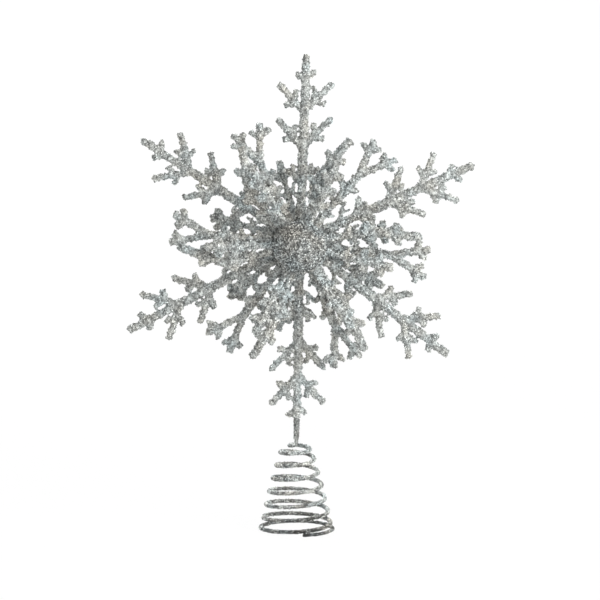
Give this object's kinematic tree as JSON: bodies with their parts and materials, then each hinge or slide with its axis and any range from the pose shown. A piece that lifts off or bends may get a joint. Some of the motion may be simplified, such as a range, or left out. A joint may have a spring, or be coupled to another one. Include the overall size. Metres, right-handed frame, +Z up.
{
  "type": "snowflake tree topper",
  "caption": "Glittered snowflake of branching sprays around a domed centre, on a conical wire coil that grips the top shoot of a tree, springs up and down and lets the flake turn.",
  "frame": {"origin": "on the axis of the wire coil, on the surface that its bottom turn stands on", "axes": "+Z up along the coil's axis, front of the snowflake towards -Y, +X to the right seen from the front"},
  "size_m": [0.2429, 0.0672, 0.3394],
  "materials": {
    "glitter_plastic": "moulded plastic under a coarse silver glitter crust",
    "glitter_cover": "moulded plastic shell under a fine silver glitter crust",
    "glitter_sleeve": "plastic sleeve under a fine silver glitter crust",
    "glitter_wire": "spring steel wire under a fine silver glitter coat",
    "hub_plastic": "plain grey moulded plastic",
    "pin_steel": "plain drawn steel"
  },
  "bodies": {
    "base": {"coil_spring": "glitter_wire"},
    "stem": {"stem_sleeve": "glitter_sleeve"},
    "head": {"hub": "hub_plastic", "centre_pin": "pin_steel", "front_dome": "glitter_cover", "back_cover": "glitter_cover", "long_top": "glitter_plastic", "long_upper_left": "glitter_plastic", "long_lower_left": "glitter_plastic", "long_bottom": "glitter_plastic", "long_lower_right": "glitter_plastic", "long_upper_right": "glitter_plastic", "fork_top": "glitter_plastic", "fork_upper_left": "glitter_plastic", "fork_lower_left": "glitter_plastic", "fork_bottom": "glitter_plastic", "fork_lower_right": "glitter_plastic", "fork_upper_right": "glitter_plastic", "finger_top": "glitter_plastic", "finger_upper_left": "glitter_plastic", "finger_lower_left": "glitter_plastic", "finger_bottom": "glitter_plastic", "finger_lower_right": "glitter_plastic", "finger_upper_right": "glitter_plastic", "short_top": "glitter_plastic", "short_upper_left": "glitter_plastic", "short_lower_left": "glitter_plastic", "short_bottom": "glitter_plastic", "short_lower_right": "glitter_plastic", "short_upper_right": "glitter_plastic", "rear_top": "glitter_plastic", "rear_upper_left": "glitter_plastic", "rear_lower_left": "glitter_plastic", "rear_bottom": "glitter_plastic", "rear_lower_right": "glitter_plastic", "rear_upper_right": "glitter_plastic"}
  },
  "joints": [
    {"name": "spring_bob", "type": "slide", "parent": "base", "child": "stem", "axis": [0, 0, 1], "range_m": [-0.02, 0.012], "stiffness_N_per_m": 780, "springref_m": 0.0015, "deforming": ["coil_spring"]},
    {"name": "head_turn", "type": "hinge", "parent": "stem", "child": "head", "pos_m": [0.00027, 0, 0.0797], "axis": [0.0175, 0, 0.9998], "continuous": true}
  ]
}
